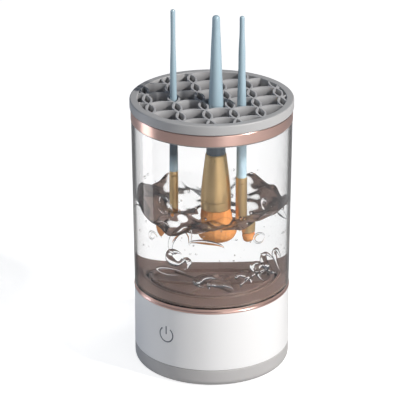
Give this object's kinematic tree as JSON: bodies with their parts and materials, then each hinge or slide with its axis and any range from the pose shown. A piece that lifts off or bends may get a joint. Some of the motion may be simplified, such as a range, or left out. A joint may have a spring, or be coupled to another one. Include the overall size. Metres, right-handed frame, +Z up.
{
  "type": "electric makeup brush cleaner",
  "caption": "Electric make-up brush cleaner: round motor base with push button, clear water tank with magnetic agitator, and a lid whose soft rib grid holds brushes upright.",
  "frame": {"origin": "centre of the underside, on the surface that the base stands on", "axes": "+Z up along the tank axis; the front is -Y, with the power button left of it; the charging port faces +Y"},
  "size_m": [0.0996, 0.0996, 0.2275],
  "materials": {
    "white_shell": "glossy white moulded plastic",
    "foot_grey": "soft grey elastomer, satin",
    "cover_grey": "fine-textured plastic",
    "screw_steel": "zinc plated steel",
    "motor_steel": "drawn steel can",
    "bracket_steel": "pressed steel",
    "board_green": "solder-masked circuit board",
    "component_black": "moulded component cases",
    "socket_steel": "plated steel shell",
    "socket_black": "moulded contact tongue",
    "cell_wrap": "shrink sleeve",
    "holder_black": "moulded nylon",
    "switch_black": "moulded switch case",
    "shaft_steel": "ground steel",
    "holder_white": "moulded acetal",
    "magnet_nickel": "nickel plated magnet",
    "tank_clear": "clear polished tank wall",
    "rose_gold": "satin rose-gold metal",
    "floor_taupe": "taupe plastic, satin",
    "agitator_taupe": "taupe plastic, satin",
    "bush_white": "acetal bearing",
    "button_white": "glossy white push button",
    "symbol_grey": "translucent grey inlay",
    "lid_grey": "satin grey plastic",
    "grid_grey": "soft satin elastomer",
    "seal_grey": "silicone seal",
    "handle_blue": "pale blue lacquered wood",
    "ferrule_gold": "satin champagne-gold aluminium",
    "bristle_amber": "dense synthetic bristles"
  },
  "bodies": {
    "base": {"foot_ring": "foot_grey", "base_housing": "white_shell", "bottom_cover": "cover_grey", "cover_screws": "screw_steel", "motor_can": "motor_steel", "motor_bracket": "bracket_steel", "motor_screws": "screw_steel", "bracket_screws": "screw_steel", "control_board": "board_green", "board_screws": "screw_steel", "board_components": "component_black", "charging_socket": "socket_steel", "socket_tongue": "socket_black", "battery_cell": "cell_wrap", "battery_holder": "holder_black", "tact_switch": "switch_black", "switch_board": "board_green"},
    "button": {"power_button": "button_white", "button_symbol": "symbol_grey", "switch_plunger": "holder_white"},
    "rotor": {"motor_shaft": "shaft_steel", "magnet_holder": "holder_white", "drive_magnets": "magnet_nickel"},
    "tank": {"tank_shell": "tank_clear", "tank_foot_ring": "rose_gold", "floor_plate": "floor_taupe", "pivot_pin": "shaft_steel", "pin_cap": "agitator_taupe", "trim_band": "rose_gold"},
    "agitator": {"agitator_disc": "agitator_taupe", "agitator_bush": "bush_white", "driven_magnets": "magnet_nickel"},
    "lid": {"lid_ring": "lid_grey", "lid_grid": "grid_grey", "lid_seal": "seal_grey"},
    "detail_brush": {"detail_brush_handle": "handle_blue", "detail_brush_ferrule": "ferrule_gold", "detail_brush_bristles": "bristle_amber"},
    "powder_brush": {"powder_brush_handle": "handle_blue", "powder_brush_ferrule": "ferrule_gold", "powder_brush_bristles": "bristle_amber"},
    "concealer_brush": {"concealer_brush_handle": "handle_blue", "concealer_brush_ferrule": "ferrule_gold", "concealer_brush_bristles": "bristle_amber"}
  },
  "joints": [
    {"name": "button_press", "type": "slide", "parent": "base", "child": "button", "axis": [0.5807, 0.8141, 0], "range_m": [0, 0.0005], "stiffness_N_per_m": 600, "springref_m": -0.001},
    {"name": "rotor_spin", "type": "hinge", "parent": "base", "child": "rotor", "pos_m": [0, 0, 0.0415], "axis": [0, 0, 1], "continuous": true},
    {"name": "tank_lift", "type": "slide", "parent": "base", "child": "tank", "axis": [0, 0, 1], "range_m": [0, 0.06]},
    {"name": "agitator_spin", "type": "hinge", "parent": "tank", "child": "agitator", "pos_m": [0, 0, 0.0525], "axis": [0, 0, 1], "continuous": true},
    {"name": "lid_lift", "type": "slide", "parent": "tank", "child": "lid", "axis": [0, 0, 1], "range_m": [0, 0.1]},
    {"name": "detail_brush_slide", "type": "slide", "parent": "lid", "child": "detail_brush", "axis": [0, 0, 1], "range_m": [-0.02, 0]},
    {"name": "powder_brush_slide", "type": "slide", "parent": "lid", "child": "powder_brush", "axis": [0, 0, 1], "range_m": [-0.02, 0]},
    {"name": "concealer_brush_slide", "type": "slide", "parent": "lid", "child": "concealer_brush", "axis": [0, 0, 1], "range_m": [-0.02, 0]}
  ],
  "couplings": [
    {"joint": "agitator_spin", "follows": "rotor_spin", "ratio": 1}
  ]
}
